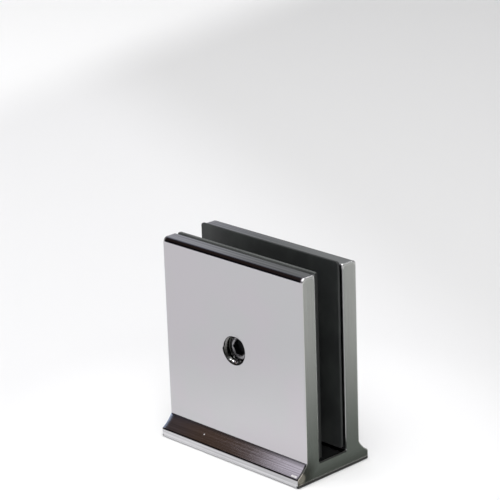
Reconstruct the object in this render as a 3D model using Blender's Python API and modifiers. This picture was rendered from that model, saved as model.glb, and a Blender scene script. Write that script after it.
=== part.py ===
"""Square glass clamp on a flared foot, modelled in metres with +Z up.

The clamp stands on its base. +X runs along its width, the front wall with the
set screw faces -Y, and the origin is at the middle of the footprint, at the base.
"""

import math

import bmesh
import bpy
from mathutils import Vector

# Clamp body: one block with a slot for the glass
CLAMP_WIDTH = 0.052
CLAMP_HEIGHT = 0.0565
FRONT_WALL = 0.0046
BACK_WALL = 0.0050
SLOT_WIDTH = 0.0101
FLOOR_THICKNESS = 0.0050
FRONT_TOP_RADIUS = 0.0015
BACK_TOP_RADIUS = 0.0010
SLOT_EDGE_RADIUS = 0.0004
SLOT_CORNER_RADIUS = 0.0004
END_EDGE_RADIUS = 0.00025

# Foot along the bottom of both walls: an upright lip under a shallow cove
FRONT_FOOT_REACH = 0.0035
BACK_FOOT_REACH = 0.0033
LIP_HEIGHT = 0.0026
COVE_TOP = 0.0060
COVE_DEPTH = 0.0003
LIP_TOP_RADIUS = 0.0007
LIP_BOTTOM_RADIUS = 0.0005

# Threaded hole in the middle of the flat front, drawn at the thread's outer size
HOLE_HEIGHT = 0.03095
THREAD_DIAMETER = 0.0080
THREAD_CLEARANCE = 0.00015
HOLE_CHAMFER = 0.00015

# Set screw with a hex socket; its face is sunk below the front wall
SCREW_RECESS = 0.0018
SCREW_CHAMFER = 0.0005
SOCKET_FLATS = 0.0040
SOCKET_DEPTH = 0.0018
SOCKET_LEAD = 0.0001

# Countersunk fixing holes in the floor of the slot
FIXING_SPACING = 0.026
FIXING_HOLE_DIAMETER = 0.0048
FIXING_HEAD_DIAMETER = 0.0086

# Pressure pad behind the front wall
PAD_LENGTH = 0.0514
PAD_THICKNESS = 0.0008
PAD_STAND_UP = 0.0003
PAD_SHIFT = 0.0002
PAD_CORNER_RADIUS = 0.0008
PAD_EDGE_RADIUS = 0.00012

# Rubber gasket on the back wall
GASKET_LENGTH = 0.0510
GASKET_THICKNESS = 0.0007
GASKET_STAND_UP = 0.0007
GASKET_SHIFT = -0.0002
GASKET_CORNER_RADIUS = 0.0008
GASKET_EDGE_RADIUS = 0.00015

# Room between neighbours, and how far cutters run past what they cut
SEAT_GAP = 0.0003
FLOOR_GAP = 0.0006
OVERRUN = 0.002

ARC_STEPS = 8
COVE_STEPS = 18
EDGE_STEPS = 3
TURNED_STEPS = 72
WELD_DISTANCE = 0.000001

# Places worked out from the sizes above, front to back and bottom to top
WALLS_DEPTH = FRONT_WALL + SLOT_WIDTH + BACK_WALL
FOOTPRINT_DEPTH = FRONT_FOOT_REACH + WALLS_DEPTH + BACK_FOOT_REACH
FOOT_FRONT_Y = -FOOTPRINT_DEPTH / 2
FRONT_FACE_Y = FOOT_FRONT_Y + FRONT_FOOT_REACH
SLOT_FRONT_Y = FRONT_FACE_Y + FRONT_WALL
SLOT_BACK_Y = SLOT_FRONT_Y + SLOT_WIDTH
SLOT_MIDDLE_Y = (SLOT_FRONT_Y + SLOT_BACK_Y) / 2
BACK_FACE_Y = SLOT_BACK_Y + BACK_WALL
FOOT_BACK_Y = BACK_FACE_Y + BACK_FOOT_REACH


def make_collection(name):
    collection = bpy.data.collections.new(name)
    bpy.context.scene.collection.children.link(collection)
    return collection


def make_material(name, colour, roughness, metallic):
    material = bpy.data.materials.new(name)
    material.use_nodes = True
    shader = material.node_tree.nodes["Principled BSDF"]
    shader.inputs["Base Color"].default_value = (*colour, 1.0)
    shader.inputs["Roughness"].default_value = roughness
    shader.inputs["Metallic"].default_value = metallic
    return material


def turned_about(centre, arm, angle):
    """Point at the end of an arm from the centre, swung by an angle."""
    across = arm.x * math.cos(angle) - arm.y * math.sin(angle)
    up = arm.x * math.sin(angle) + arm.y * math.cos(angle)
    return centre + Vector((across, up))


def rounded_outline(corners, steps):
    """Closed outline through (point, radius) corners, each corner turned into an arc."""
    outline = []
    for index, (corner, radius) in enumerate(corners):
        corner = Vector(corner)
        if radius == 0:
            outline.append(corner)
            continue
        before = (Vector(corners[index - 1][0]) - corner).normalized()
        after = (Vector(corners[(index + 1) % len(corners)][0]) - corner).normalized()
        half_angle = before.angle(after) / 2
        centre = corner + (before + after).normalized() * radius / math.sin(half_angle)
        first = corner + before * radius / math.tan(half_angle) - centre
        last = corner + after * radius / math.tan(half_angle) - centre
        sweep = first.angle_signed(last)
        for step in range(steps + 1):
            turn = -sweep * step / steps
            outline.append(turned_about(centre, first, turn))
    return outline


def extruded(name, outline, thickness, rotation, collection):
    """Flat outline given a thickness, as one closed mesh with whole end faces."""
    curve = bpy.data.curves.new(name + "_outline", "CURVE")
    curve.dimensions = "2D"
    curve.fill_mode = "BOTH"
    curve.extrude = thickness / 2
    spline = curve.splines.new("POLY")
    spline.points.add(len(outline) - 1)
    for point, place in zip(spline.points, outline):
        point.co = (place[0], place[1], 0, 1)
    spline.use_cyclic_u = True
    guide = bpy.data.objects.new(name + "_outline", curve)
    guide.rotation_euler = rotation
    collection.objects.link(guide)
    bpy.context.view_layer.update()
    evaluated = guide.evaluated_get(bpy.context.evaluated_depsgraph_get())
    mesh = bpy.data.meshes.new_from_object(evaluated)
    mesh.name = name
    solid = bmesh.new()
    solid.from_mesh(mesh)
    bmesh.ops.remove_doubles(solid, verts=solid.verts, dist=WELD_DISTANCE)
    bmesh.ops.dissolve_limit(
        solid, angle_limit=math.radians(0.5), verts=solid.verts, edges=solid.edges
    )
    solid.to_mesh(mesh)
    solid.free()
    piece = bpy.data.objects.new(name, mesh)
    piece.matrix_world = guide.matrix_world.copy()
    collection.objects.link(piece)
    bpy.data.objects.remove(guide)
    return piece


def turned(name, profile, collection):
    """Profile of (radius, height) points, from the top down, turned about Z."""
    mesh = bpy.data.meshes.new(name)
    points = [(radius, 0, height) for radius, height in profile]
    edges = [(index, index + 1) for index in range(len(points) - 1)]
    mesh.from_pydata(points, edges, [])
    piece = bpy.data.objects.new(name, mesh)
    collection.objects.link(piece)
    screw = piece.modifiers.new("turn", "SCREW")
    screw.steps = TURNED_STEPS
    screw.render_steps = TURNED_STEPS
    screw.use_merge_vertices = True
    screw.merge_threshold = WELD_DISTANCE
    return piece


def round_edges(piece, radius):
    bevel = piece.modifiers.new("edges", "BEVEL")
    bevel.limit_method = "ANGLE"
    bevel.angle_limit = math.radians(60)
    bevel.width = radius
    bevel.segments = EDGE_STEPS
    bevel.use_clamp_overlap = False


def cut(piece, cutter):
    cutter.hide_render = True
    cutter.display_type = "WIRE"
    boolean = piece.modifiers.new("cut " + cutter.name, "BOOLEAN")
    boolean.operation = "DIFFERENCE"
    boolean.object = cutter


def finish_piece(piece, material):
    piece.data.materials.clear()
    piece.data.materials.append(material)
    piece.data.shade_smooth()
    piece.data.set_sharp_from_angle(angle=math.radians(25))


def foot_cove(face_y, tip_y):
    """Points of the shallow cove from the wall's face down to the lip."""
    top = Vector((face_y, COVE_TOP))
    bottom = Vector((tip_y, LIP_HEIGHT))
    chord = bottom - top
    inward = Vector((top.x - bottom.x, 0)).normalized() + Vector((0, -1))
    inward = (inward - inward.project(chord)).normalized()
    radius = (chord.length**2 / 4 + COVE_DEPTH**2) / (2 * COVE_DEPTH)
    centre = (top + bottom) / 2 + inward * (COVE_DEPTH - radius)
    first = top - centre
    sweep = first.angle_signed(bottom - centre)
    points = []
    for step in range(COVE_STEPS + 1):
        turn = -sweep * step / COVE_STEPS
        points.append(turned_about(centre, first, turn))
    return points


def clear_of_lip(cove):
    """Points of the cove that leave room for the rounding where it meets the lip."""
    return [point for point in cove if (point - cove[-1]).length > LIP_TOP_RADIUS]


def body_outline():
    """Section across the width: (y, z) corners with the radius of each."""
    front_cove = foot_cove(FRONT_FACE_Y, FOOT_FRONT_Y)
    back_cove = foot_cove(BACK_FACE_Y, FOOT_BACK_Y)
    corners = [
        ((FRONT_FACE_Y, CLAMP_HEIGHT), FRONT_TOP_RADIUS),
        *[(point, 0) for point in clear_of_lip(front_cove)],
        (front_cove[-1], LIP_TOP_RADIUS),
        ((FOOT_FRONT_Y, 0), LIP_BOTTOM_RADIUS),
        ((FOOT_BACK_Y, 0), LIP_BOTTOM_RADIUS),
        (back_cove[-1], LIP_TOP_RADIUS),
        *[(point, 0) for point in reversed(clear_of_lip(back_cove))],
        ((BACK_FACE_Y, CLAMP_HEIGHT), BACK_TOP_RADIUS),
        ((SLOT_BACK_Y, CLAMP_HEIGHT), SLOT_EDGE_RADIUS),
        ((SLOT_BACK_Y, FLOOR_THICKNESS), SLOT_CORNER_RADIUS),
        ((SLOT_FRONT_Y, FLOOR_THICKNESS), SLOT_CORNER_RADIUS),
        ((SLOT_FRONT_Y, CLAMP_HEIGHT), SLOT_EDGE_RADIUS),
    ]
    return rounded_outline(corners, ARC_STEPS)


def thread_hole_cutter(cutters):
    """Through the front wall, chamfered where the thread starts and ends."""
    radius = THREAD_DIAMETER / 2 + THREAD_CLEARANCE
    mouth = radius + HOLE_CHAMFER
    profile = [
        (0, OVERRUN),
        (mouth, OVERRUN),
        (mouth, 0),
        (radius, -HOLE_CHAMFER),
        (radius, HOLE_CHAMFER - FRONT_WALL),
        (mouth, -FRONT_WALL),
        (mouth, -FRONT_WALL - OVERRUN),
        (0, -FRONT_WALL - OVERRUN),
    ]
    cutter = turned("thread_hole_cutter", profile, cutters)
    cutter.location = (0, FRONT_FACE_Y, HOLE_HEIGHT)
    cutter.rotation_euler = (math.pi / 2, 0, 0)
    return cutter


def fixing_hole_cutter(number, x, cutters):
    """Countersunk from the floor of the slot, right through the base."""
    head_radius = FIXING_HEAD_DIAMETER / 2
    hole_radius = FIXING_HOLE_DIAMETER / 2
    profile = [
        (0, OVERRUN),
        (head_radius, OVERRUN),
        (head_radius, 0),
        (hole_radius, hole_radius - head_radius),
        (hole_radius, -FLOOR_THICKNESS - OVERRUN),
        (0, -FLOOR_THICKNESS - OVERRUN),
    ]
    cutter = turned(f"fixing_hole_cutter_{number}", profile, cutters)
    cutter.location = (x, SLOT_MIDDLE_Y, FLOOR_THICKNESS)
    return cutter


def clamp_body(parts, cutters, chrome):
    body = extruded(
        "clamp_body",
        body_outline(),
        CLAMP_WIDTH,
        (math.pi / 2, 0, math.pi / 2),
        parts,
    )
    round_edges(body, END_EDGE_RADIUS)
    cut(body, thread_hole_cutter(cutters))
    for number, x in enumerate((-FIXING_SPACING / 2, FIXING_SPACING / 2), start=1):
        cut(body, fixing_hole_cutter(number, x, cutters))
    finish_piece(body, chrome)


def set_screw(parts, cutters, steel):
    """Turned from the sunk face to the tip, flush with the slot side of the wall."""
    length = FRONT_WALL - SCREW_RECESS
    radius = THREAD_DIAMETER / 2 - THREAD_CLEARANCE
    profile = [
        (0, 0),
        (radius - SCREW_CHAMFER, 0),
        (radius, -SCREW_CHAMFER),
        (radius, SCREW_CHAMFER - length),
        (radius - SCREW_CHAMFER, -length),
        (0, -length),
    ]
    screw = turned("set_screw", profile, parts)
    screw.location = (0, FRONT_FACE_Y + SCREW_RECESS, HOLE_HEIGHT)
    screw.rotation_euler = (math.pi / 2, 0, 0)
    cut(screw, hex_socket_cutter(screw, cutters))
    cut(screw, socket_lead_cutter(screw, cutters))
    finish_piece(screw, steel)


def hex_socket_cutter(screw, cutters):
    """Six-sided prism sunk into the screw's face."""
    mesh = bpy.data.meshes.new("hex_socket_cutter")
    solid = bmesh.new()
    bmesh.ops.create_cone(
        solid,
        cap_ends=True,
        segments=6,
        radius1=SOCKET_FLATS / math.sqrt(3),
        radius2=SOCKET_FLATS / math.sqrt(3),
        depth=SOCKET_DEPTH * 2,
    )
    solid.to_mesh(mesh)
    solid.free()
    cutter = bpy.data.objects.new("hex_socket_cutter", mesh)
    cutters.objects.link(cutter)
    cutter.location = screw.location
    cutter.rotation_euler = screw.rotation_euler
    return cutter


def socket_lead_cutter(screw, cutters):
    """Wide cone that breaks the edge where the key enters the socket."""
    spread = math.tan(math.radians(60))
    mouth_radius = SOCKET_FLATS / math.sqrt(3) + SOCKET_LEAD
    profile = [
        (0, OVERRUN),
        (mouth_radius + OVERRUN * spread, OVERRUN),
        (0, -mouth_radius / spread),
    ]
    cutter = turned("socket_lead_cutter", profile, cutters)
    cutter.location = screw.location
    cutter.rotation_euler = screw.rotation_euler
    return cutter


def slab(name, length, height, thickness, corner_radius, collection):
    """Upright sheet with rounded corners, facing along Y."""
    corners = [
        ((-length / 2, 0), corner_radius),
        ((length / 2, 0), corner_radius),
        ((length / 2, height), corner_radius),
        ((-length / 2, height), corner_radius),
    ]
    outline = rounded_outline(corners, ARC_STEPS)
    return extruded(name, outline, thickness, (math.pi / 2, 0, 0), collection)


def pressure_pad(parts, plastic):
    bottom = FLOOR_THICKNESS + FLOOR_GAP
    height = CLAMP_HEIGHT + PAD_STAND_UP - bottom
    pad = slab("pressure_pad", PAD_LENGTH, height, PAD_THICKNESS, PAD_CORNER_RADIUS, parts)
    pad.location = (PAD_SHIFT, SLOT_FRONT_Y + SEAT_GAP + PAD_THICKNESS / 2, bottom)
    round_edges(pad, PAD_EDGE_RADIUS)
    finish_piece(pad, plastic)


def back_gasket(parts, rubber):
    bottom = FLOOR_THICKNESS + FLOOR_GAP
    height = CLAMP_HEIGHT + GASKET_STAND_UP - bottom
    gasket = slab(
        "back_gasket",
        GASKET_LENGTH,
        height,
        GASKET_THICKNESS,
        GASKET_CORNER_RADIUS,
        parts,
    )
    gasket.location = (GASKET_SHIFT, SLOT_BACK_Y - SEAT_GAP - GASKET_THICKNESS / 2, bottom)
    round_edges(gasket, GASKET_EDGE_RADIUS)
    finish_piece(gasket, rubber)


def main():
    for leftover in list(bpy.data.objects):
        bpy.data.objects.remove(leftover)
    parts = make_collection("glass_clamp")
    cutters = make_collection("cutters")
    chrome = make_material("polished_chrome", (0.62, 0.62, 0.63), 0.05, 1.0)
    steel = make_material("screw_steel", (0.50, 0.50, 0.51), 0.22, 1.0)
    plastic = make_material("pad_plastic", (0.13, 0.135, 0.135), 0.42, 0.0)
    rubber = make_material("gasket_rubber", (0.016, 0.018, 0.018), 0.50, 0.0)
    clamp_body(parts, cutters, chrome)
    set_screw(parts, cutters, steel)
    pressure_pad(parts, plastic)
    back_gasket(parts, rubber)


main()
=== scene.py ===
from math import cos, pi, radians, sin

import bmesh
import bpy
from mathutils import Matrix, Vector


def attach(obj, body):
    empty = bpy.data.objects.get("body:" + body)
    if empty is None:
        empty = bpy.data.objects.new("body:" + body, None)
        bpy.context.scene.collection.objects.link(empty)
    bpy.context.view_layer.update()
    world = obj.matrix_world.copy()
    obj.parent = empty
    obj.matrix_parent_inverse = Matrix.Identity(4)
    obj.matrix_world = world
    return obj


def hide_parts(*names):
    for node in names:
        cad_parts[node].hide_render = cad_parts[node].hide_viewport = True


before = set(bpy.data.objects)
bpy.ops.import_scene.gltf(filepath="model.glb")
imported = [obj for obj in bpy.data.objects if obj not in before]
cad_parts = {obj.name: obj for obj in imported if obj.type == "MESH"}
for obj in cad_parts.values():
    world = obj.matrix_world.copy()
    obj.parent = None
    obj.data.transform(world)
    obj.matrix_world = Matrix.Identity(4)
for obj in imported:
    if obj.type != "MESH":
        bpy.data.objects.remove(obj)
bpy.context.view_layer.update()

scene = bpy.context.scene
scene.view_settings.view_transform = "Standard"
print("frame loaded:", ", ".join(sorted(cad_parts)))


# node helper: inputs may be plain values or sockets of other nodes
def addNode(tree, kind, inputs=None, **settings):
    node = tree.nodes.new(kind)
    for key, value in settings.items():
        setattr(node, key, value)
    for key, value in (inputs or {}).items():
        if isinstance(value, bpy.types.NodeSocket):
            tree.links.new(value, node.inputs[key])
        else:
            node.inputs[key].default_value = value
    return node


def calc(tree, operation, first, second=0.0, third=0.0):
    inputs = {0: first, 1: second, 2: third}
    return addNode(tree, "ShaderNodeMath", inputs, operation=operation).outputs[0]


# 0 below low, 1 above high, smooth between
def stepUp(tree, value, low, high):
    inputs = {"Value": value, "From Min": low, "From Max": high}
    node = addNode(tree, "ShaderNodeMapRange", inputs, interpolation_type="SMOOTHSTEP")
    return node.outputs["Result"]


def inverse(tree, mask):
    return calc(tree, "SUBTRACT", 1.0, mask)


# 1 below low, 0 above high, smooth between
def stepDown(tree, value, low, high):
    return inverse(tree, stepUp(tree, value, low, high))


# 1 from low to high and 0 outside, with soft ends
def between(tree, value, low, high, soft):
    above = stepUp(tree, value, high - soft, high + soft)
    return calc(tree, "SUBTRACT", stepUp(tree, value, low - soft, low + soft), above)


def allOf(tree, *masks):
    made = masks[0]
    for mask in masks[1:]:
        made = calc(tree, "MULTIPLY", made, mask)
    return made


# distance of a place in a plane from the plane's origin
def radiusOf(tree, across, up):
    squares = [calc(tree, "MULTIPLY", value, value) for value in (across, up)]
    return calc(tree, "SQRT", calc(tree, "ADD", *squares))


# a share from 0 to 1 as a value from low to high
def spread(tree, value, low, high):
    node = addNode(tree, "ShaderNodeMapRange", {"Value": value, "To Min": low, "To Max": high})
    return node.outputs["Result"]


def blendColour(tree, mask, first, second):
    node = addNode(tree, "ShaderNodeMix", data_type="RGBA")
    for key, value in ((0, mask), (6, first), (7, second)):
        if isinstance(value, bpy.types.NodeSocket):
            tree.links.new(value, node.inputs[key])
        else:
            node.inputs[key].default_value = value if key == 0 else (*value, 1.0)
    return node.outputs[2]


def blendValue(tree, mask, first, second):
    inputs = {0: mask, 2: first, 3: second}
    return addNode(tree, "ShaderNodeMix", inputs, data_type="FLOAT").outputs[0]


def scaled(colour, share):
    return tuple(c * share for c in colour)


# stripes of a lighter and a darker shade of one colour, by a noise
def streaked(tree, noise, colour, low, high):
    return blendColour(tree, stepUp(tree, noise, 0.3, 0.7), scaled(colour, low), scaled(colour, high))


# noise stretched by a different scale along each axis, in waves per metre
def stretchedNoise(tree, coords, scales, detail=2.0):
    mapping = addNode(tree, "ShaderNodeMapping", {"Vector": coords, "Scale": scales})
    inputs = {"Vector": mapping.outputs[0], "Scale": 1.0, "Detail": detail}
    return addNode(tree, "ShaderNodeTexNoise", inputs).outputs[0]


def newMaterial(name):
    material = bpy.data.materials.new(name)
    material.use_nodes = True
    tree = material.node_tree
    coords = addNode(tree, "ShaderNodeTexCoord").outputs["Object"]
    place = addNode(tree, "ShaderNodeSeparateXYZ", {0: coords}).outputs
    return material, tree, tree.nodes["Principled BSDF"], coords, place


def faceNormal(tree):
    normal = addNode(tree, "ShaderNodeNewGeometry").outputs["True Normal"]
    return addNode(tree, "ShaderNodeSeparateXYZ", {0: normal}).outputs


# bump from a noise, laid over the normal that is passed in
def roughen(tree, height, noise, strength=1.0, **under):
    inputs = {"Strength": strength, "Distance": height, "Height": noise, **under}
    return addNode(tree, "ShaderNodeBump", inputs).outputs[0]


def feed(tree, shader, **values):
    for key, value in values.items():
        socket = shader.inputs[key.replace("_", " ")]
        if isinstance(value, bpy.types.NodeSocket):
            tree.links.new(value, socket)
        else:
            socket.default_value = value


# chrome plate: mirror on the broad faces, drawn lines on the ends, the tops and the cove;
# places are in metres, as (low, high) of a ramp or as (low, high, softness) of a band
chromeLook = {
    "colour": (0.500, 0.498, 0.510),
    "cloudColour": (0.510, 0.49053, 0.5151),
    "cloudMix": (0.35, 0.65),
    "endColour": (0.53, 0.54, 0.52),
    "endStreak": 0.02,
    "topColour": (0.55, 0.55, 0.56),
    "topStreak": 0.28,
    "topPaintedLightColour": (0.80, 0.81, 0.80),
    "paintedLightX": (-0.016, 0.024),
    "paintedLightY": (0.0, 0.001),
    "coveGain": 1.08,
    "coveStreak": 0.24,
    "coveLeftReflectionTint": (0.86, 1.0, 1.30),
    "coveLeftX": (-0.024, -0.010),
    "roughness": (0.036, 0.0585),
    "endRoughness": (0.1445, 0.1955),
    "topRoughness": (0.084, 0.156),
    "coveRoughness": (0.030, 0.075),
    "glintAndSpeckRoughness": 0.38,

    "cloudScales": (75.0, 75.0, 75.0),
    "peelScales": (420.0, 420.0, 420.0),
    "peelHeight": 0.0000009,
    "smearScales": (160.0, 160.0, 420.0),
    "alongScales": (28.0, 3600.0, 3600.0),
    "uprightScales": (2600.0, 2600.0, 45.0),
    "lineHeight": 0.0000008,
    "coveLineHeight": 0.000005,

    "facingOn": (0.80, 0.95),
    "topLevel": (0.0545, 0.0549),
    "coveLevel": (0.0062, 0.0065),
    "coveDepth": (0.00978, 0.00985),

    # bevel: fine on every edge, larger at the top corners and the left end of the cove
    "edgeRadius": 0.00030,
    "cornerRadius": 0.0010,
    "cornerX": (0.0240, 0.0250),
    "cornerZ": (0.0548, 0.0556),
    "footEndRadius": 0.0020,
    "footEndX": (0.0226, 0.0240),
    "footEndY": (0.0098, 0.0101),
    "footEndZ": (0.0022, 0.0064, 0.0003),

    # painted shade along edges
    "lipShadeLine": (0.00226, 0.00270, 0.00004),
    "lipShadeColour": (0.035, 0.032, 0.035),
    "frontEdgeShadeColour": (0.14, 0.14, 0.17),
    "frontEdgeFacing": (0.18, 0.93, 0.06),
    "frontEdgeX": (-1.0, 0.0253, 0.0003),
    "frontEdgeY": (-0.010, -0.0079, 0.0001),
    "tipX": (0.0255, 0.0256),
    "slotEdgeShadeColour": (0.30, 0.30, 0.30),
    "slotEdgeY": (0.0048, 0.00524, 0.00004),
    "slotEdgeZ": (0.0053, 0.0555, 0.0004),
    "edgeShadeColour": (0.045, 0.045, 0.043),
    "floorEdgeY": (-0.0051, 0.0050, 0.0001),
    "floorEdgeZ": (0.0046, 0.0052, 0.0002),
    "lowEdgeZ": (-1.0, 0.00086, 0.00008),
    "coveEdgeX": (0.0254, 0.0256),
    "coveEdgeY": (0.0098, 0.0100),
    "coveEdgeZ": (0.0024, 0.0063, 0.0002),

    # painted shade low on the ends, a painted pale reflection, a painted glint and a fleck of dust
    "footShadeColour": (0.19, 0.185, 0.17),
    "footY": (-0.0100, -0.0045),
    "footZ": (0.0035, 0.0090),
    "lowEndZ": (0.0008, 0.0046),
    "lowEndShare": 0.6,
    "paleReflection": (-0.0119, 0.0024),  # y and z of a painted pale reflection on the right end of the foot
    "paleReflectionReach": (0.000855, 0.0019),
    "paleReflectionX": (0.0, 0.01),
    "paleReflectionColour": (0.96, 0.84, 0.76),
    "coveGlintX": (0.0231, 0.0251, 0.0002),  # painted glint at the right end of the cove, just above the lip
    "coveGlintZ": (0.00282, 0.00314, 0.00008),
    "speck": (-0.01121, -0.0113, 0.00422),  # a fleck of dust on the cove
    "speckReach": (0.000147, 0.000252),
    "paleColour": (0.93, 0.92, 0.92),
}


# shade of the clamp's ends: painted shade dark on the foot and low down, with a painted pale reflection
def shadeEnds(tree, place, uprightLines):
    look = chromeLook
    x, y, z = place
    # painted shade: the ends darker on the foot and towards the bottom
    footShade = allOf(tree, stepDown(tree, y, *look["footY"]), stepDown(tree, z, *look["footZ"]))
    lowEndShade = calc(tree, "MULTIPLY", stepDown(tree, z, *look["lowEndZ"]), look["lowEndShare"])
    # painted pale reflection near the front of the right end's foot
    fromPaleReflection = [calc(tree, "SUBTRACT", value, middle) for value, middle in zip((y, z), look["paleReflection"])]
    inPaleReflection = allOf(tree, stepDown(tree, radiusOf(tree, *fromPaleReflection), *look["paleReflectionReach"]),
                     stepUp(tree, x, *look["paleReflectionX"]))
    shade = streaked(tree, uprightLines, look["endColour"], 1 - look["endStreak"], 1 + look["endStreak"])
    shade = blendColour(tree, calc(tree, "MAXIMUM", footShade, lowEndShade), shade, look["footShadeColour"])
    return blendColour(tree, inPaleReflection, shade, look["paleReflectionColour"])


# shade of the tops: streaked, with painted light making the back wall paler towards the right
def shadeTops(tree, place, alongLines):
    look = chromeLook
    shade = streaked(tree, alongLines, look["topColour"], 1 - look["topStreak"], 1 + look["topStreak"])
    # painted light: the back wall's top paler towards the right
    paintedLight = allOf(tree, stepUp(tree, place[1], *look["paintedLightY"]), stepUp(tree, place[0], *look["paintedLightX"]))
    return blendColour(tree, paintedLight, shade, look["topPaintedLightColour"])


# shade of the cove: streaked, with a painted reflection tinting it bluish towards the left above the lip
def shadeCove(tree, place, alongLines):
    look = chromeLook
    gain, streak = look["coveGain"], look["coveStreak"]
    shade = streaked(tree, alongLines, look["colour"], gain - streak, gain + streak)
    # painted reflection: a bluish tint towards the left
    rightward = stepUp(tree, place[0], *look["coveLeftX"])
    reflectionTint = blendColour(tree, rightward, look["coveLeftReflectionTint"], (1.0, 1.0, 1.0))
    aboveLip = stepUp(tree, place[2], *look["lipShadeLine"][:2])
    return addNode(tree, "ShaderNodeMix", {0: aboveLip, 6: shade, 7: reflectionTint},
                   data_type="RGBA", blend_type="MULTIPLY").outputs[2]


# bevelled normal, with a radius that grows at the top corners and the left end of the cove
def bevelEdges(tree, place, aside, depth):
    look = chromeLook
    atCorner = allOf(tree, stepUp(tree, place[2], *look["cornerZ"]), stepUp(tree, aside, *look["cornerX"]))
    leftward = calc(tree, "MULTIPLY", place[0], -1.0)
    atFootEnd = allOf(tree, stepUp(tree, leftward, *look["footEndX"]),
                      between(tree, place[2], *look["footEndZ"]), stepUp(tree, depth, *look["footEndY"]))
    radius = blendValue(tree, atCorner, look["edgeRadius"], look["cornerRadius"])
    radius = blendValue(tree, atFootEnd, radius, look["footEndRadius"])
    return addNode(tree, "ShaderNodeBevel", {"Radius": radius}, samples=8).outputs[0]


def makeChrome(name, softEdges=True):
    look = chromeLook
    material, tree, shader, coords, place = newMaterial(name)
    x, y, z = place
    aside = calc(tree, "ABSOLUTE", x)
    depth = calc(tree, "ABSOLUTE", y)
    facing = faceNormal(tree)
    onEnd = stepUp(tree, calc(tree, "ABSOLUTE", facing[0]), *look["facingOn"])
    offEnd = inverse(tree, onEnd)
    onTop = allOf(tree, stepUp(tree, facing[2], *look["facingOn"]), stepUp(tree, z, *look["topLevel"]))
    onCove = allOf(tree, stepUp(tree, depth, *look["coveDepth"]),
                   stepDown(tree, z, *look["coveLevel"]), offEnd)

    alongLines = stretchedNoise(tree, coords, look["alongScales"], detail=3.0)
    uprightLines = stretchedNoise(tree, coords, look["uprightScales"], detail=3.0)
    peel = stretchedNoise(tree, coords, look["peelScales"], detail=1.5)
    cloud = stretchedNoise(tree, coords, look["cloudScales"], detail=1.0)
    smear = stretchedNoise(tree, coords, look["smearScales"], detail=3.0)

    # mirror, ends, tops and cove
    colour = blendColour(tree, stepUp(tree, cloud, *look["cloudMix"]), look["colour"], look["cloudColour"])
    colour = blendColour(tree, onEnd, colour, shadeEnds(tree, place, uprightLines))
    colour = blendColour(tree, onTop, colour, shadeTops(tree, place, alongLines))
    colour = blendColour(tree, onCove, colour, shadeCove(tree, place, alongLines))

    # painted shade along the edges, with a painted dark reflection on the front top edge
    # painted shade: a dark line in the crease above the lip
    inLipShade = allOf(tree, onCove, between(tree, z, *look["lipShadeLine"]))
    colour = blendColour(tree, inLipShade, colour, look["lipShadeColour"])
    # painted dark reflection on the front wall's top edge, short of the corners
    onFrontEdgeShade = allOf(tree, between(tree, facing[2], *look["frontEdgeFacing"]),
                        stepUp(tree, z, *look["topLevel"]),
                        between(tree, y, *look["frontEdgeY"]), between(tree, aside, *look["frontEdgeX"]))
    colour = blendColour(tree, onFrontEdgeShade, colour, look["frontEdgeShadeColour"])
    onTip = stepUp(tree, aside, *look["tipX"])
    # painted shade dimming the highlight on the back wall's slot-side end edge
    onSlotEdge = allOf(tree, between(tree, y, *look["slotEdgeY"]), onTip,
                       between(tree, z, *look["slotEdgeZ"]))
    colour = blendColour(tree, onSlotEdge, colour, look["slotEdgeShadeColour"])
    # painted shade dimming the edge highlights at the ends of the slot floor and the cove, and darkening the
    # bottom edge of the ends
    onFloorEdge = allOf(tree, between(tree, y, *look["floorEdgeY"]), onTip,
                        between(tree, z, *look["floorEdgeZ"]))
    onLowEdge = allOf(tree, between(tree, z, *look["lowEdgeZ"]), onTip)
    onCoveEdge = allOf(tree, between(tree, z, *look["coveEdgeZ"]), stepUp(tree, x, *look["coveEdgeX"]),
                       stepUp(tree, depth, *look["coveEdgeY"]), offEnd)
    edgeShade = calc(tree, "MAXIMUM", calc(tree, "MAXIMUM", onFloorEdge, onLowEdge), onCoveEdge)
    colour = blendColour(tree, edgeShade, colour, look["edgeShadeColour"])

    # painted glint and a fleck of dust
    coveGlint = allOf(tree, onCove, between(tree, x, *look["coveGlintX"]), between(tree, z, *look["coveGlintZ"]))
    colour = blendColour(tree, coveGlint, colour, look["paleColour"])
    toSpeck = addNode(tree, "ShaderNodeVectorMath", {0: coords, 1: look["speck"]}, operation="DISTANCE")
    onSpeck = stepDown(tree, toSpeck.outputs["Value"], *look["speckReach"])
    colour = blendColour(tree, onSpeck, colour, look["paleColour"])

    roughness = spread(tree, smear, *look["roughness"])
    for mask, noise, key in ((onEnd, uprightLines, "endRoughness"),
                             (onTop, alongLines, "topRoughness"),
                             (onCove, alongLines, "coveRoughness")):
        roughness = blendValue(tree, mask, roughness, spread(tree, noise, *look[key]))
    glintAndSpeck = calc(tree, "MAXIMUM", coveGlint, onSpeck)
    roughness = blendValue(tree, glintAndSpeck, roughness, look["glintAndSpeckRoughness"])

    # relief: bevelled edges, a faint orange peel, then the drawn lines
    under = {"Normal": bevelEdges(tree, place, aside, depth)} if softEdges else {}
    peeled = roughen(tree, look["peelHeight"], peel, **under)
    lines = blendValue(tree, onEnd, alongLines, uprightLines)
    lined = calc(tree, "MAXIMUM", onEnd, onTop)
    drawn = roughen(tree, look["lineHeight"], lines, lined, Normal=peeled)
    ribbed = roughen(tree, look["coveLineHeight"], alongLines, onCove, Normal=drawn)
    feed(tree, shader, Base_Color=colour, Metallic=inverse(tree, onSpeck), Roughness=roughness, Normal=ribbed)
    return material


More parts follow.
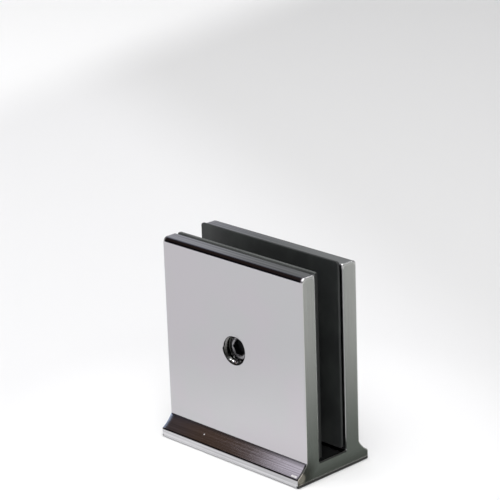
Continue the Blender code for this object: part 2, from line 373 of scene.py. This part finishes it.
# metal of the cut thread inside the bore, darker than the plate outside; painted shade darkens its lower
# half, its deeper part and the rim at the mouth, and painted glints stand bright low down
boreLook = {
    "colour": (0.24, 0.235, 0.23),
    "lowShadeColour": (0.07, 0.07, 0.066),
    "lowZ": (0.0300, 0.0320),
    "deepShadeColour": (0.035, 0.036, 0.033),
    "deepY": (-0.0097, -0.0080),
    "rimShadeColour": (0.022, 0.021, 0.022),
    "rimY": (-0.00956, -0.00952),
    "glintColour": (0.90, 0.90, 0.91),
    "glintScales": (2100.0, 2100.0, 2100.0),
    "glintMix": (0.53, 0.57),
    "glintZ": (0.0283, 0.0289),
    "roughness": (0.07, 0.14),
    "tearScales": (1400.0, 2600.0, 1400.0),
    "tearHeight": 0.0000040,
}


def makeBoreMetal():
    look = boreLook
    material, tree, shader, coords, place = newMaterial("cutThreadMetal")
    x, y, z = place
    tear = stretchedNoise(tree, coords, look["tearScales"])
    glintNoise = stretchedNoise(tree, coords, look["glintScales"])
    # painted shade: darker on the lower half, deeper in and at the rim
    shade = blendColour(tree, stepUp(tree, z, *look["lowZ"]), look["lowShadeColour"], look["colour"])
    shade = blendColour(tree, stepUp(tree, y, *look["deepY"]), shade, look["deepShadeColour"])
    # painted glints: bright metal patches low in the bore
    glints = allOf(tree, stepDown(tree, z, *look["glintZ"]), stepUp(tree, glintNoise, *look["glintMix"]))
    shade = blendColour(tree, glints, shade, look["glintColour"])
    shade = blendColour(tree, stepUp(tree, y, *look["rimY"]), look["rimShadeColour"], shade)
    feed(tree, shader, Base_Color=shade, Metallic=1.0, Roughness=spread(tree, tear, *look["roughness"]),
         Normal=roughen(tree, look["tearHeight"], tear))
    return material


# turned steel of the set screw, with rings round its axis; its colour is darkened as painted shade, and its
# socket is painted dark as painted shade
steelLook = {
    # darkened as painted shade on the screw's face
    "colour": (0.22, 0.215, 0.225),
    "ringShades": (0.86, 1.12),
    "roughness": (0.154, 0.297),
    "grainScales": (2200.0, 2200.0, 2200.0),
    "ringScales": (5200.0, 5200.0, 5200.0),
    "ringHeight": 0.000001,
    "axisHeight": 0.03095,
    "wellShadeColour": (0.03, 0.03, 0.033),
    "wellRoughness": 0.5,
    "wellReach": (0.00245, 0.00249),
    "wellY": (-0.00783, -0.00755),
}


def makeSteel():
    look = steelLook
    material, tree, shader, coords, place = newMaterial("turnedSteel")
    radius = radiusOf(tree, place[0], calc(tree, "SUBTRACT", place[2], look["axisHeight"]))
    ringCoords = addNode(tree, "ShaderNodeCombineXYZ", {0: radius}).outputs[0]
    rings = stretchedNoise(tree, ringCoords, look["ringScales"])
    grain = stretchedNoise(tree, coords, look["grainScales"], detail=3.0)
    inWell = allOf(tree, stepDown(tree, radius, *look["wellReach"]), stepUp(tree, place[1], *look["wellY"]))
    shade = blendColour(tree, rings, *(scaled(look["colour"], share) for share in look["ringShades"]))
    # painted shade in the socket
    shade = blendColour(tree, inWell, shade, look["wellShadeColour"])
    rough = blendValue(tree, inWell, spread(tree, grain, *look["roughness"]), look["wellRoughness"])
    feed(tree, shader, Base_Color=shade, Metallic=1.0, Roughness=rough,
         Normal=roughen(tree, look["ringHeight"], rings))
    return material


# satin plastic of the pressure pad, its ends painted dark as painted shade
padLook = {
    "colour": (0.086, 0.091, 0.088),
    "paleColour": (0.112, 0.117, 0.114),
    "pulledScales": (90.0, 700.0, 700.0),
    "pulledMix": (0.3, 0.7),
    "endColour": (0.010, 0.011, 0.0105),
    "endFacing": (0.5, 0.8),
    "shine": 0.2,
    "roughness": (0.368, 0.575),
    "grainScales": (5200.0, 5200.0, 5200.0),
    "grainHeight": 0.0000035,
}


def makePad():
    look = padLook
    material, tree, shader, coords, place = newMaterial("satinPlastic")
    grain = stretchedNoise(tree, coords, look["grainScales"], detail=3.0)
    pulled = stretchedNoise(tree, coords, look["pulledScales"])
    shade = blendColour(tree, stepUp(tree, pulled, *look["pulledMix"]), look["colour"], look["paleColour"])
    # painted shade: the pad's ends darker than its top
    onEnd = stepUp(tree, calc(tree, "ABSOLUTE", faceNormal(tree)[0]), *look["endFacing"])
    shade = blendColour(tree, onEnd, shade, look["endColour"])
    feed(tree, shader, Base_Color=shade, Metallic=0.0, Roughness=spread(tree, grain, *look["roughness"]),
         IOR=1.5, Specular_IOR_Level=look["shine"], Normal=roughen(tree, look["grainHeight"], grain))
    return material


# black rubber of the gasket, finely grained, with a little dust in the grain
rubberLook = {
    "colour": (0.016, 0.018, 0.018),
    "dustColour": (0.027, 0.031, 0.029),
    "dustScales": (170.0, 170.0, 120.0),
    "dustMix": (0.45, 0.75),
    "roughness": (0.40, 0.65),
    "grainScales": (3800.0, 3800.0, 3800.0),
    "grainHeight": 0.000005,
}


def makeRubber():
    look = rubberLook
    material, tree, shader, coords, place = newMaterial("blackRubber")
    grain = stretchedNoise(tree, coords, look["grainScales"], detail=3.0)
    dust = stretchedNoise(tree, coords, look["dustScales"], detail=4.0)
    shade = blendColour(tree, stepUp(tree, dust, *look["dustMix"]), look["colour"], look["dustColour"])
    feed(tree, shader, Base_Color=shade, Metallic=0.0, Roughness=spread(tree, grain, *look["roughness"]),
         IOR=1.52, Normal=roughen(tree, look["grainHeight"], grain))
    return material


chrome = makeChrome("polishedChrome")
steel = makeSteel()
finishes = {
    "clamp_body": chrome,
    "set_screw": steel,
    "pressure_pad": makePad(),
    "back_gasket": makeRubber(),
}
for nodeName, finish in finishes.items():
    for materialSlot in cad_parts[nodeName].material_slots:
        materialSlot.material = finish
print("materials assigned")


# 60 degree thread, metres; one profile serves the bore and the screw
threadForm = {
    "pitch": 0.00125,
    "axis": (0.0, 0.03095),  # x and z of the axis
    "startTurn": 0.19,       # where round the axis the ridge begins
    "columns": 96,
    "crestFlat": 0.125,      # widths of the flats, in pitches
    "rootFlat": 0.25,
    "flankSteps": 4,
    "spareTurns": 3,         # past each end, pressed flat into its plane
    "sharpAngle": 24,
}


# share of the thread's depth at phase u: 1 on the screw's crest, 0 in its root
def threadHeight(u):
    form = threadForm
    u = abs((u % 1.0) - 0.5)
    flank = 0.5 - form["crestFlat"] / 2 - form["rootFlat"] / 2
    return min(1.0, max(0.0, 1.0 - (u - form["crestFlat"] / 2) / flank))


# a skin of stacked thread corners between two planes, closed by the caller
def threadSkin(mesh, low, high, radiusAt):
    form = threadForm
    pitch, steps, spare = form["pitch"], form["flankSteps"], form["spareTurns"]
    flank = 0.5 - form["crestFlat"] / 2 - form["rootFlat"] / 2
    corners = [form["rootFlat"] / 2 + flank * k / steps for k in range(steps + 1)]
    corners += [1.0 - c for c in reversed(corners)]
    turns = range(int(low / pitch) - spare, int(high / pitch) + spare)
    x, z = form["axis"]
    rings = []
    for i in range(form["columns"]):
        share = i / form["columns"]
        angle = 2 * pi * share
        column = []
        for turn in turns:
            for corner in corners:
                along = pitch * (turn + corner + share + form["startTurn"])
                along = min(high, max(low, along))
                phase = along / pitch - share - form["startTurn"]
                r = radiusAt(along, threadHeight(phase), share)
                column.append(mesh.verts.new((x + r * sin(angle), along, z + r * cos(angle))))
        rings.append(column)
    count = len(corners)
    for i in range(form["columns"]):
        here = rings[i]
        last = i == form["columns"] - 1
        there = rings[0] if last else rings[i + 1]
        shift = count if last else 0
        for q in range(len(here) - 1 - shift):
            mesh.faces.new((here[q], here[q + 1], there[q + 1 + shift], there[q + shift]))
    bmesh.ops.remove_doubles(mesh, verts=mesh.verts, dist=1e-8)
    bmesh.ops.dissolve_degenerate(mesh, edges=mesh.edges, dist=1e-9)


def endLoop(mesh, level):
    return [e for e in mesh.edges if e.is_boundary and all(abs(v.co.y - level) < 1e-8 for v in e.verts)]


def smoothFaces(data):
    for polygon in data.polygons:
        polygon.use_smooth = True
    data.set_sharp_from_angle(angle=radians(threadForm["sharpAngle"]))


def finishMesh(mesh, name):
    bmesh.ops.recalc_face_normals(mesh, faces=mesh.faces)
    data = bpy.data.meshes.new(name)
    mesh.to_mesh(data)
    mesh.free()
    piece = bpy.data.objects.new(name, data)
    scene.collection.objects.link(piece)
    smoothFaces(data)
    return piece


# thread cut in the front wall, a sleeve bedded 0.05 mm into the wall of the bore
boreThread = {
    "mouth": -0.00976,
    "inner": -0.00517,
    "crest": 0.00346,
    "root": 0.00412,
    "outer": 0.00420,
    "lip": 0.00434,
    "mouthRadius": 0.00418,
    "ridgeRadius": 0.00356,
    "ridgeStart": 0.735,     # turns from the top, and how far the ridge shows
    "ridgeTurn": 0.40,
    "ridgeRise": 0.015,
    "ridgeFade": 0.13,
    "rimWidth": 0.00014,
}


def makeBoreThread():
    size = boreThread
    mesh = bmesh.new()

    # the mouth is broken all round but for the first part of the ridge
    def radiusAt(along, height, share):
        r = size["crest"] + (size["root"] - size["crest"]) * height
        pastStart = (share - size["ridgeStart"]) % 1.0
        toEnd = max(0.0, (size["ridgeTurn"] - pastStart) / size["ridgeFade"])
        onRidge = min(1.0, pastStart / size["ridgeRise"], toEnd)
        opened = size["mouthRadius"] + (size["ridgeRadius"] - size["mouthRadius"]) * onRidge
        return max(r, opened - (along - size["mouth"]))

    threadSkin(mesh, size["mouth"], size["inner"], radiusAt)
    walls = []
    x, z = threadForm["axis"]
    for level, radii in ((size["mouth"], (None, size["lip"])), (size["inner"], (size["outer"],))):
        edges = endLoop(mesh, level)
        for radius in radii:
            made = bmesh.ops.extrude_edge_only(mesh, edges=edges)["geom"]
            ring = [v for v in made if isinstance(v, bmesh.types.BMVert)]
            for v in ring:
                out = Vector((v.co.x - x, v.co.z - z))
                out *= (radius or out.length + size["rimWidth"]) / out.length
                v.co.x, v.co.z = x + out.x, z + out.y
            for face in made:  # the flat round the mouth is plated like the wall
                if isinstance(face, bmesh.types.BMFace) and radius == size["lip"]:
                    face.material_index = 1
            made = [e for e in made if isinstance(e, bmesh.types.BMEdge)]
            edges = [e for e in made if all(v in ring for v in e.verts)]
        walls += edges
    bmesh.ops.bridge_loops(mesh, edges=walls)
    piece = finishMesh(mesh, "boreThread")
    piece.data.materials.append(makeBoreMetal())
    piece.data.materials.append(makeChrome("polishedChromeFlat", softEdges=False))
    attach(piece, "clamp")


# socket set screw with a real thread, standing for the plain solid
socketScrew = {
    "face": -0.00795,
    "tip": -0.00515,
    "crest": 0.00392,
    "root": 0.00326,
    "faceRadius": 0.00318,
    "socketFlats": 0.0040,
    "socketDepth": 0.0018,
    "drillDepth": 0.0004,
    "lead": 0.00014,
    "leadSlope": 0.577,
    "leadSides": 72,
    "clearance": 0.001,
}


# a cutter: a prism from front to floor, with a point beyond it on the thread's axis
def makeCutter(name, angles, radius, front, floor, point):
    x, z = threadForm["axis"]
    mesh = bmesh.new()
    near, far = ([mesh.verts.new((x + radius * sin(a), y, z + radius * cos(a))) for a in angles]
                 for y in (front, floor))
    tip = mesh.verts.new((x, point, z))
    mesh.faces.new(near)
    for k in range(len(angles)):
        n = (k + 1) % len(angles)
        mesh.faces.new((near[k], near[n], far[n], far[k]))
        mesh.faces.new((far[k], far[n], tip))
    return finishMesh(mesh, name)


def makeSocketScrew():
    size = socketScrew
    mesh = bmesh.new()

    def radiusAt(along, height, share):
        r = size["root"] + (size["crest"] - size["root"]) * height
        fromFace, fromTip = along - size["face"], size["tip"] - along
        return min(r, size["faceRadius"] + fromFace, size["faceRadius"] + fromTip)

    threadSkin(mesh, size["face"], size["tip"], radiusAt)
    for level in (size["face"], size["tip"]):
        bmesh.ops.contextual_create(mesh, geom=endLoop(mesh, level))
    piece = finishMesh(mesh, "socketScrew")

    # hexagon with a pointed floor, and a 120 degree lead at the mouth
    corner = size["socketFlats"] / 2 / cos(pi / 6)
    rim = corner + size["lead"]
    front = size["face"] - size["clearance"]
    floor = size["face"] + size["socketDepth"]
    hexAngles = [pi / 3 * k + pi / 6 for k in range(6)]
    leadAngles = [2 * pi * k / size["leadSides"] for k in range(size["leadSides"])]
    cutters = (
        makeCutter("hexCutter", hexAngles, corner, front, floor, floor + size["drillDepth"]),
        makeCutter("leadCone", leadAngles, rim, front, size["face"], size["face"] + rim * size["leadSlope"]),
    )
    for cutter in cutters:
        modifier = piece.modifiers.new("cut", "BOOLEAN")
        modifier.operation = "DIFFERENCE"
        modifier.solver = "EXACT"
        modifier.object = cutter
    graph = bpy.context.evaluated_depsgraph_get()
    cutData = bpy.data.meshes.new_from_object(piece.evaluated_get(graph))
    piece.modifiers.clear()
    piece.data = cutData
    smoothFaces(cutData)
    for cutter in cutters:
        bpy.data.objects.remove(cutter)
    cutData.materials.clear()
    cutData.materials.append(steel)
    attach(piece, "screw")
    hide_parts("set_screw")


makeBoreThread()
makeSocketScrew()
print("threads modelled")


# floor: pale, with painted shade making it a little darker away from the clamp and behind it, and painted
# light keeping it paler to the back left
floorLook = {
    "size": 9.0,
    "level": -0.00004,
    "near": (0.95, 0.95, 0.95),
    "far": (0.82, 0.82, 0.825),
    "farReach": (0.03, 0.095),
    "back": (0.72, 0.72, 0.72),
    "backReach": (0.05, 0.12),
    "backShare": 0.35,
    "backLeft": (0.97, 0.97, 0.97),
    "backLeftReach": (0.47, 0.60),
    "rightShare": 1.5,
    "toRight": (0.688, 0.725, 0.0),  # along the picture's width
    "toBack": (-0.725, 0.688, 0.0),
    "roughness": 0.9,
    "shine": 0.1,
}


def makeFloor():
    look = floorLook
    half = look["size"] / 2
    corners = [(x, y, look["level"]) for x, y in ((-half, -half), (half, -half), (half, half), (-half, half))]
    data = bpy.data.meshes.new("studioFloor")
    data.from_pydata(corners, [], [(0, 1, 2, 3)])
    floor = bpy.data.objects.new("studioFloor", data)
    scene.collection.objects.link(floor)
    material, tree, shader, coords, place = newMaterial("paleFloor")
    reach = addNode(tree, "ShaderNodeVectorMath", {0: coords}, operation="LENGTH").outputs["Value"]
    colour = blendColour(tree, stepUp(tree, reach, *look["farReach"]), look["near"], look["far"])
    right, back = (addNode(tree, "ShaderNodeVectorMath", {0: coords, 1: look[way]},
                           operation="DOT_PRODUCT").outputs["Value"] for way in ("toRight", "toBack"))
    behind = calc(tree, "ADD", right, calc(tree, "MULTIPLY", back, look["backShare"]))
    colour = blendColour(tree, stepUp(tree, behind, *look["backReach"]), colour, look["back"])
    aside = calc(tree, "SUBTRACT", back, calc(tree, "MULTIPLY", right, look["rightShare"]))
    colour = blendColour(tree, stepUp(tree, aside, *look["backLeftReach"]), colour, look["backLeft"])
    feed(tree, shader, Base_Color=colour, Roughness=look["roughness"], Specular_IOR_Level=look["shine"])
    data.materials.append(material)


# studio round the clamp, by direction: pale low down, grey above, a dark screen on the left,
# a light behind and one on the right; ranges are parts of the direction's unit vector
studioLook = {
    "horizon": (0.80, 0.80, 0.80),
    "room": (0.30, 0.30, 0.305),
    "roomZ": (0.10, 0.22),
    "backRoom": (0.22, 0.225, 0.23),
    "backRoomLeft": (0.46, 0.46, 0.51),
    "backRoomTurn": (0.68, 0.72),
    "leftSide": (0.55, 0.80, 0.05),
    "leftZ": (0.04, 0.09),
    "screen": (0.005, 0.004, 0.006),
    "screenFront": (-0.05, -0.01),
    "screenEdge": (0.04, 0.08),
    "screenZ": (0.33, 0.385),
    "screenLeft": (0.050, 0.038, 0.036),
    "screenRight": (0.15, 0.14, 0.16),
    "screenTurn": (-0.6650, -0.6530),
    "highLeft": (0.092, 0.060, 0.045),
    "highRight": (0.74, 0.69, 0.78),
    "highZ": (0.41, 0.52),
    "backLight": (3.0, 3.0, 3.0),
    "backLightX": (0.20, 0.28),
    "backLightY": (0.50, 0.58),
    "backLightZ": (0.56, 0.64),
    "rightLight": (3.5, 3.5, 3.5),
    "rightLightX": (0.35, 0.45),
    "rightLightFront": (0.15, 0.25),
    "rightLightZ": (0.5, 0.6),
}


def makeStudio():
    look = studioLook
    world = bpy.data.worlds.new("studio")
    scene.world = world
    world.use_nodes = True
    tree = world.node_tree
    heading = addNode(tree, "ShaderNodeTexCoord").outputs["Generated"]
    x, y, z = addNode(tree, "ShaderNodeSeparateXYZ", {0: heading}).outputs
    left = calc(tree, "MULTIPLY", x, -1.0)
    front = calc(tree, "MULTIPLY", y, -1.0)

    colour = blendColour(tree, stepUp(tree, z, *look["roomZ"]), look["horizon"], look["room"])
    toLeft = allOf(tree, stepUp(tree, z, *look["leftZ"]), between(tree, left, *look["leftSide"]))
    backRoom = blendColour(tree, stepUp(tree, left, *look["backRoomTurn"]),
                           look["backRoom"], look["backRoomLeft"])
    colour = blendColour(tree, toLeft, colour, backRoom)

    # the screen: nearly black low down and at its edge, brighter above and to the right
    turn = stepUp(tree, x, *look["screenTurn"])
    low = blendColour(tree, turn, look["screenLeft"], look["screenRight"])
    high = blendColour(tree, turn, look["highLeft"], look["highRight"])
    screen = blendColour(tree, stepUp(tree, z, *look["highZ"]), low, high)
    screen = blendColour(tree, stepUp(tree, z, *look["screenZ"]), look["screen"], screen)
    screen = blendColour(tree, stepUp(tree, front, *look["screenEdge"]), look["screen"], screen)
    onScreen = allOf(tree, toLeft, stepUp(tree, front, *look["screenFront"]))
    colour = blendColour(tree, onScreen, colour, screen)

    behind = allOf(tree, stepUp(tree, x, *look["backLightX"]), stepUp(tree, y, *look["backLightY"]),
                   stepUp(tree, z, *look["backLightZ"]))
    colour = blendColour(tree, behind, colour, look["backLight"])
    rightSide = allOf(tree, stepUp(tree, x, *look["rightLightX"]),
                      stepUp(tree, front, *look["rightLightFront"]), stepUp(tree, z, *look["rightLightZ"]))
    colour = blendColour(tree, rightSide, colour, look["rightLight"])
    tree.links.new(colour, tree.nodes["Background"].inputs["Color"])


# dim card low on the right, seen only in reflections, for the shade on the clamp's ends
endCard = {
    "level": 0.0003,
    "start": 0.027,
    "length": 0.155,
    "slope": 1.02,
    "halfWidth": 0.020,
    "solidShare": 0.75,
    "near": (0.170, 0.188, 0.172),
    "far": (0.455, 0.46, 0.45),
    "farStart": 0.080,
}


def makeEndCard():
    look = endCard
    x0, x1 = look["start"], look["start"] + look["length"]
    rise = look["length"] * look["slope"]
    w = look["halfWidth"]
    corners = [(x, y, look["level"]) for x, y in ((x0, -w), (x1, rise - w), (x1, rise + w), (x0, w))]
    data = bpy.data.meshes.new("endCard")
    data.from_pydata(corners, [], [(0, 1, 2, 3)])
    card = bpy.data.objects.new("endCard", data)
    scene.collection.objects.link(card)
    material, tree, shader, coords, place = newMaterial("dimCard")
    tree.nodes.remove(shader)
    along = calc(tree, "SUBTRACT", place[0], look["start"])
    aside = calc(tree, "SUBTRACT", place[1], calc(tree, "MULTIPLY", along, look["slope"]))
    cover = stepDown(tree, calc(tree, "ABSOLUTE", aside), w * look["solidShare"], w)
    tone = blendColour(tree, stepUp(tree, along, 0.0, look["farStart"]), look["near"], look["far"])
    glow = addNode(tree, "ShaderNodeEmission", {"Color": tone}).outputs[0]
    clear = addNode(tree, "ShaderNodeBsdfTransparent").outputs[0]
    both = addNode(tree, "ShaderNodeMixShader", {0: cover, 1: clear, 2: glow}).outputs[0]
    tree.links.new(both, tree.nodes["Material Output"].inputs["Surface"])
    data.materials.append(material)
    for ray in ("camera", "diffuse", "shadow", "transmission", "volume_scatter"):
        setattr(card, "visible_" + ray, False)


overheadLamp = {
    "place": (0.05, -0.40, 1.15),
    "size": 1.5,
    "power": 15.8,
}


def makeLamp():
    look = overheadLamp
    data = bpy.data.lights.new("overheadSoftbox", "AREA")
    data.shape = "SQUARE"
    data.size = look["size"]
    data.energy = look["power"]
    lamp = bpy.data.objects.new("overheadSoftbox", data)
    lamp.location = look["place"]
    scene.collection.objects.link(lamp)


makeFloor()
makeEndCard()
makeStudio()
makeLamp()
print("floor, studio and lamp placed")


# camera fitted to the clamp's edges
cameraView = {
    "target": (-0.00299, 0.00025, 0.05527),
    "distance": 0.59676,
    "azimuth": 46.485,
    "elevation": 18.696,
    "roll": -1.989,
    "lens": 163.91,
}


def makeCamera():
    view = cameraView
    az, el, roll = (radians(view[key]) for key in ("azimuth", "elevation", "roll"))
    back = Vector((sin(az) * cos(el), -cos(az) * cos(el), sin(el)))
    right = Vector((cos(az), sin(az), 0.0))
    up = back.cross(right)
    rolledRight = cos(roll) * right + sin(roll) * up
    rolledUp = -sin(roll) * right + cos(roll) * up
    data = bpy.data.cameras.new("photoCamera")
    data.lens = view["lens"]
    data.sensor_width = 36.0
    data.clip_start = 0.01
    camera = bpy.data.objects.new("photoCamera", data)
    place = Vector(view["target"]) + back * view["distance"]
    turn = Matrix((rolledRight, rolledUp, back)).transposed().to_4x4()
    camera.matrix_world = Matrix.Translation(place) @ turn
    scene.collection.objects.link(camera)
    scene.camera = camera


makeCamera()
print("camera placed")

bpy.context.view_layer.update()
